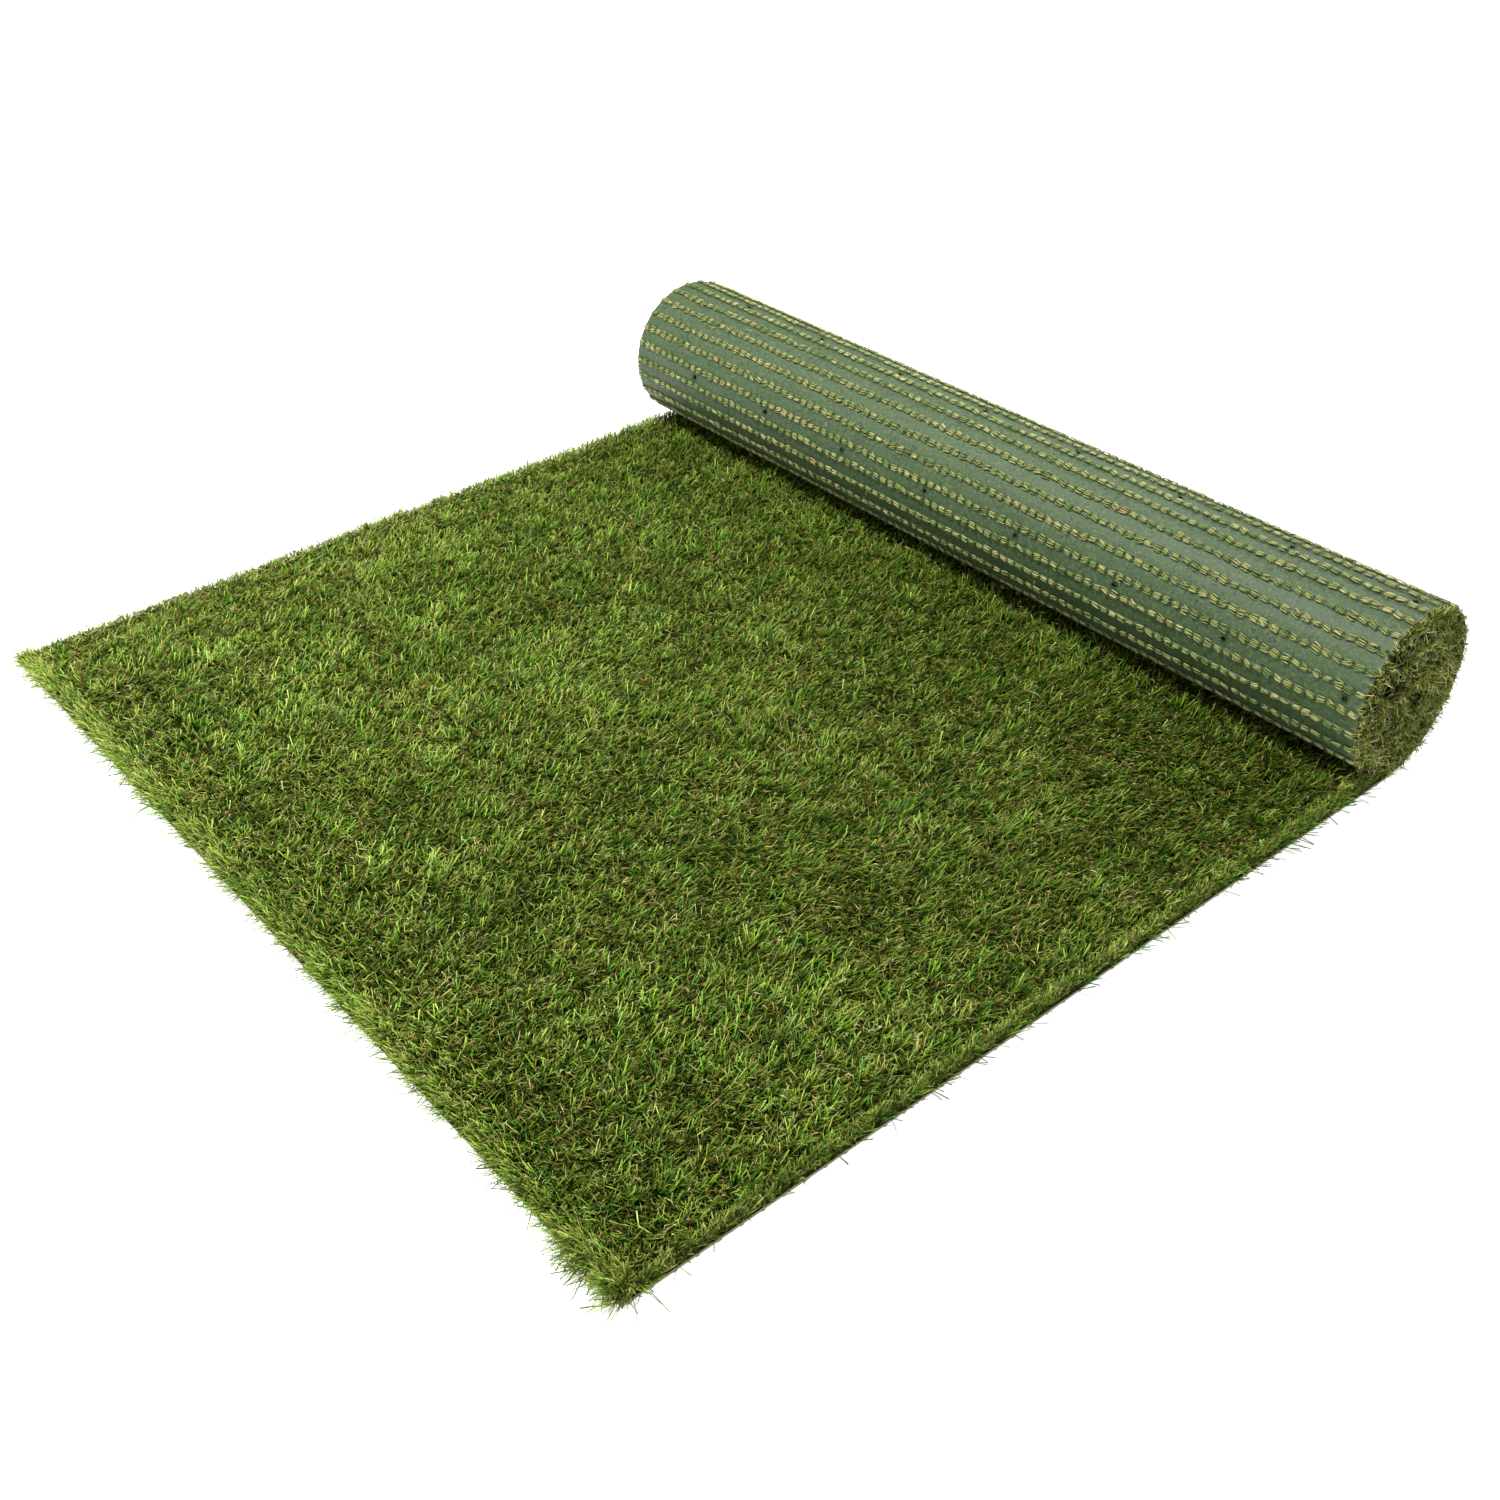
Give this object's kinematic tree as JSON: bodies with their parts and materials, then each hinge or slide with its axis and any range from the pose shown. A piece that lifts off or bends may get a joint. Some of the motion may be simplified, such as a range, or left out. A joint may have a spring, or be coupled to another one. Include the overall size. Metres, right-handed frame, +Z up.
{
  "type": "roll of artificial grass",
  "caption": "Sheet of artificial grass, half of it laid flat with the pile up and the rest still rolled up at the far end, latex backing outside, with stitch rows and small drainage holes.",
  "frame": {"origin": "middle of the footprint, on the floor that the sheet lies on", "axes": "+X across the sheet, along the roll's axis; +Y along the sheet, from its free cut end to the roll; +Z up"},
  "size_m": [1, 0.9552, 0.1762],
  "materials": {
    "latex_backing": "matt grey-green latex with a fine grain",
    "grass_yarn": "tufted polyethylene blades in two greens over curled tan thatch"
  },
  "bodies": {
    "root": {"backing": "latex_backing", "pile": "grass_yarn"}
  },
  "joints": []
}
